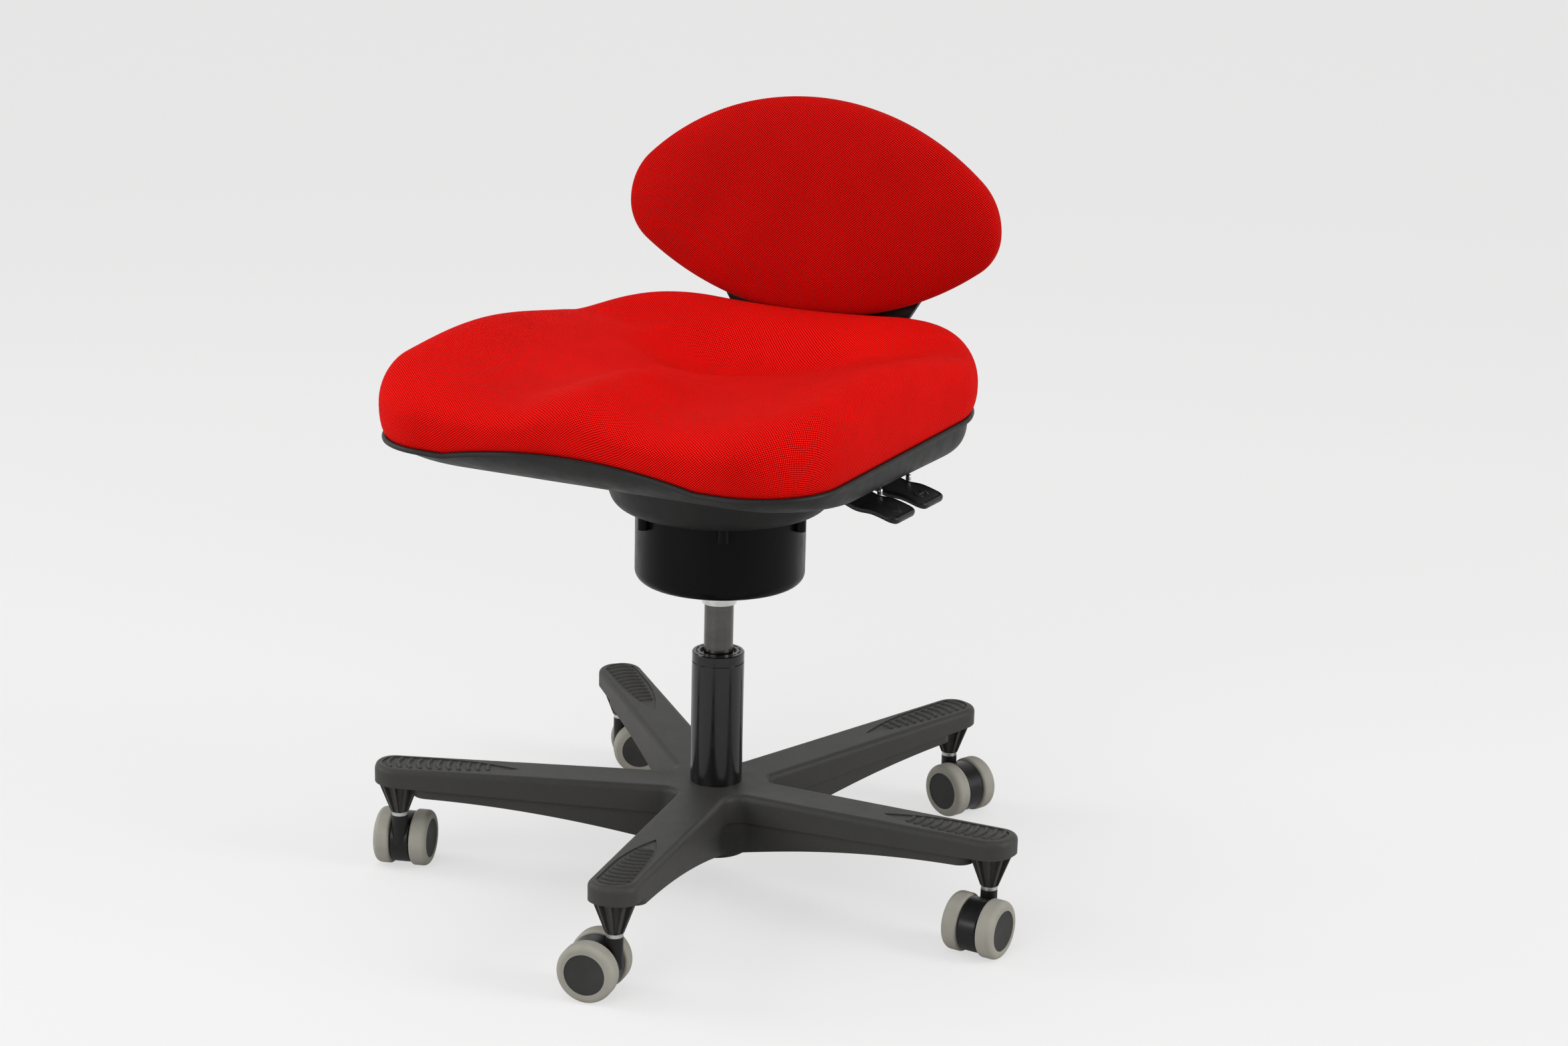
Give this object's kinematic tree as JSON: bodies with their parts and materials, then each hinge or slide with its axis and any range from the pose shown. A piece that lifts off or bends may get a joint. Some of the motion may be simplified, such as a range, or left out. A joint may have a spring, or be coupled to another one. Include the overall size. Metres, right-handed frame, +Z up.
{
  "type": "ergonomic chair",
  "caption": "Active-sitting task chair: contoured red seat on a tilting pivot, lumbar back pad, gas-spring column and a star base on twin-wheel casters.",
  "frame": {"origin": "on the floor under the column's axis", "axes": "+Z up along the column, -Y towards the front of the seat, +X towards the sitter's left, where the levers are"},
  "size_m": [0.6289, 0.6333, 0.7342],
  "materials": {
    "seat_fabric": "knitted mesh",
    "back_fabric": "knitted mesh",
    "pan_plastic": "fine grain",
    "base_nylon": "fine grain",
    "can_paint": "satin black",
    "tube_black": "gloss black",
    "bush_plastic": "smooth",
    "cylinder_steel": "dark brushed",
    "zinc": "cast",
    "steel": "bright",
    "rubber_black": "smooth",
    "fork_plastic": "satin",
    "cap_plastic": "fine grain",
    "tread_grey": "soft grey",
    "lever_plastic": "satin",
    "board_wood": "plywood",
    "bar_paint": "satin black"
  },
  "bodies": {
    "base": {"star_base": "base_nylon", "column_tube": "tube_black", "column_bush": "bush_plastic"},
    "column_rod": {"piston_rod": "steel", "thrust_bearing": "steel", "retaining_clip": "steel"},
    "column_lift": {"gas_cylinder": "cylinder_steel", "taper_hub": "zinc"},
    "valve": {"valve_pin": "steel"},
    "tilt_ring": {"tilt_gimbal": "zinc"},
    "seat": {"buffer_ring": "rubber_black", "mechanism_can": "can_paint", "bowl_cover": "pan_plastic", "bowl_screws": "steel", "seat_pan": "pan_plastic", "seat_board": "board_wood", "seat_cushion": "seat_fabric", "height_lever_pin": "steel", "back_lever_pin": "steel"},
    "backrest": {"back_bar": "bar_paint", "back_shell": "pan_plastic", "back_cushion": "back_fabric", "back_screws": "steel"},
    "front_lever": {"height_lever": "lever_plastic"},
    "rear_lever": {"back_lever": "lever_plastic"},
    "caster_1": {"caster_1_fork": "fork_plastic", "caster_1_stem": "steel", "caster_1_axle": "steel"},
    "caster_1_wheel_left": {"caster_1_hub_left": "cap_plastic", "caster_1_tread_left": "tread_grey"},
    "caster_1_wheel_right": {"caster_1_hub_right": "cap_plastic", "caster_1_tread_right": "tread_grey"},
    "caster_2": {"caster_2_fork": "fork_plastic", "caster_2_stem": "steel", "caster_2_axle": "steel"},
    "caster_2_wheel_left": {"caster_2_hub_left": "cap_plastic", "caster_2_tread_left": "tread_grey"},
    "caster_2_wheel_right": {"caster_2_hub_right": "cap_plastic", "caster_2_tread_right": "tread_grey"},
    "caster_3": {"caster_3_fork": "fork_plastic", "caster_3_stem": "steel", "caster_3_axle": "steel"},
    "caster_3_wheel_left": {"caster_3_hub_left": "cap_plastic", "caster_3_tread_left": "tread_grey"},
    "caster_3_wheel_right": {"caster_3_hub_right": "cap_plastic", "caster_3_tread_right": "tread_grey"},
    "caster_4": {"caster_4_fork": "fork_plastic", "caster_4_stem": "steel", "caster_4_axle": "steel"},
    "caster_4_wheel_left": {"caster_4_hub_left": "cap_plastic", "caster_4_tread_left": "tread_grey"},
    "caster_4_wheel_right": {"caster_4_hub_right": "cap_plastic", "caster_4_tread_right": "tread_grey"},
    "caster_5": {"caster_5_fork": "fork_plastic", "caster_5_stem": "steel", "caster_5_axle": "steel"},
    "caster_5_wheel_left": {"caster_5_hub_left": "cap_plastic", "caster_5_tread_left": "tread_grey"},
    "caster_5_wheel_right": {"caster_5_hub_right": "cap_plastic", "caster_5_tread_right": "tread_grey"}
  },
  "joints": [
    {"name": "swivel", "type": "hinge", "parent": "base", "child": "column_rod", "pos_m": [0, 0, 0.03], "axis": [0, 0, 1], "continuous": true},
    {"name": "lift", "type": "slide", "parent": "column_rod", "child": "column_lift", "axis": [0, 0, 1], "range_m": [-0.045, 0.055]},
    {"name": "tilt_pitch", "type": "hinge", "parent": "column_lift", "child": "tilt_ring", "pos_m": [0, 0, 0.332], "axis": [1, 0, 0], "range_deg": [-12, 12], "stiffness_Nm_per_rad": 400},
    {"name": "tilt_roll", "type": "hinge", "parent": "tilt_ring", "child": "seat", "pos_m": [0, 0, 0.332], "axis": [0, 1, 0], "range_deg": [-12, 12], "stiffness_Nm_per_rad": 400},
    {"name": "back_slide", "type": "slide", "parent": "seat", "child": "backrest", "axis": [0, 1, 0], "range_m": [0, 0.045]},
    {"name": "height_lever_pull", "type": "hinge", "parent": "seat", "child": "front_lever", "pos_m": [0.166, -0.081, 0.4215], "axis": [0, -1, 0], "range_deg": [0, 10], "stiffness_Nm_per_rad": 2},
    {"name": "back_lever_pull", "type": "hinge", "parent": "seat", "child": "rear_lever", "pos_m": [0.166, -0.021, 0.4215], "axis": [0, -1, 0], "range_deg": [0, 10], "stiffness_Nm_per_rad": 2},
    {"name": "valve_travel", "type": "slide", "parent": "column_lift", "child": "valve", "axis": [0, 0, 1], "range_m": [-0.003, 0]},
    {"name": "caster_1_swivel", "type": "hinge", "parent": "base", "child": "caster_1", "pos_m": [-0.26327, -0.152, 0.07], "axis": [0, 0, 1], "continuous": true},
    {"name": "caster_1_roll_left", "type": "hinge", "parent": "caster_1", "child": "caster_1_wheel_left", "pos_m": [-0.28599, -0.1399, 0.0272], "axis": [-0.9532, -0.3024, 0], "continuous": true},
    {"name": "caster_1_roll_right", "type": "hinge", "parent": "caster_1", "child": "caster_1_wheel_right", "pos_m": [-0.25168, -0.12902, 0.0272], "axis": [-0.9532, -0.3024, 0], "continuous": true},
    {"name": "caster_2_swivel", "type": "hinge", "parent": "base", "child": "caster_2", "pos_m": [0.0632, -0.29736, 0.07], "axis": [0, 0, 1], "continuous": true},
    {"name": "caster_2_roll_left", "type": "hinge", "parent": "caster_2", "child": "caster_2_wheel_left", "pos_m": [0.04814, -0.31823, 0.0272], "axis": [0.1702, -0.9854, 0], "continuous": true},
    {"name": "caster_2_roll_right", "type": "hinge", "parent": "caster_2", "child": "caster_2_wheel_right", "pos_m": [0.04201, -0.28275, 0.0272], "axis": [0.1702, -0.9854, 0], "continuous": true},
    {"name": "caster_3_swivel", "type": "hinge", "parent": "base", "child": "caster_3", "pos_m": [0.30234, -0.03178, 0.07], "axis": [0, 0, 1], "continuous": true},
    {"name": "caster_3_roll_left", "type": "hinge", "parent": "caster_3", "child": "caster_3_wheel_left", "pos_m": [0.3188, -0.05156, 0.0272], "axis": [0.9968, -0.0802, 0], "continuous": true},
    {"name": "caster_3_roll_right", "type": "hinge", "parent": "caster_3", "child": "caster_3_wheel_right", "pos_m": [0.28292, -0.04867, 0.0272], "axis": [0.9968, -0.0802, 0], "continuous": true},
    {"name": "caster_4_swivel", "type": "hinge", "parent": "base", "child": "caster_4", "pos_m": [0.12365, 0.27772, 0.07], "axis": [0, 0, 1], "continuous": true},
    {"name": "caster_4_roll_left", "type": "hinge", "parent": "caster_4", "child": "caster_4_wheel_left", "pos_m": [0.14757, 0.28722, 0.0272], "axis": [0.3859, 0.9225, 0], "continuous": true},
    {"name": "caster_4_roll_right", "type": "hinge", "parent": "caster_4", "child": "caster_4_wheel_right", "pos_m": [0.13368, 0.25401, 0.0272], "axis": [0.3859, 0.9225, 0], "continuous": true},
    {"name": "caster_5_swivel", "type": "hinge", "parent": "base", "child": "caster_5", "pos_m": [-0.22592, 0.20342, 0.07], "axis": [0, 0, 1], "continuous": true},
    {"name": "caster_5_roll_left", "type": "hinge", "parent": "caster_5", "child": "caster_5_wheel_left", "pos_m": [-0.2213, 0.22874, 0.0272], "axis": [-0.5779, 0.8161, 0], "continuous": true},
    {"name": "caster_5_roll_right", "type": "hinge", "parent": "caster_5", "child": "caster_5_wheel_right", "pos_m": [-0.2005, 0.19936, 0.0272], "axis": [-0.5779, 0.8161, 0], "continuous": true}
  ],
  "couplings": [
    {"joint": "valve_travel", "follows": "height_lever_pull", "m_per_rad": -0.017}
  ]
}
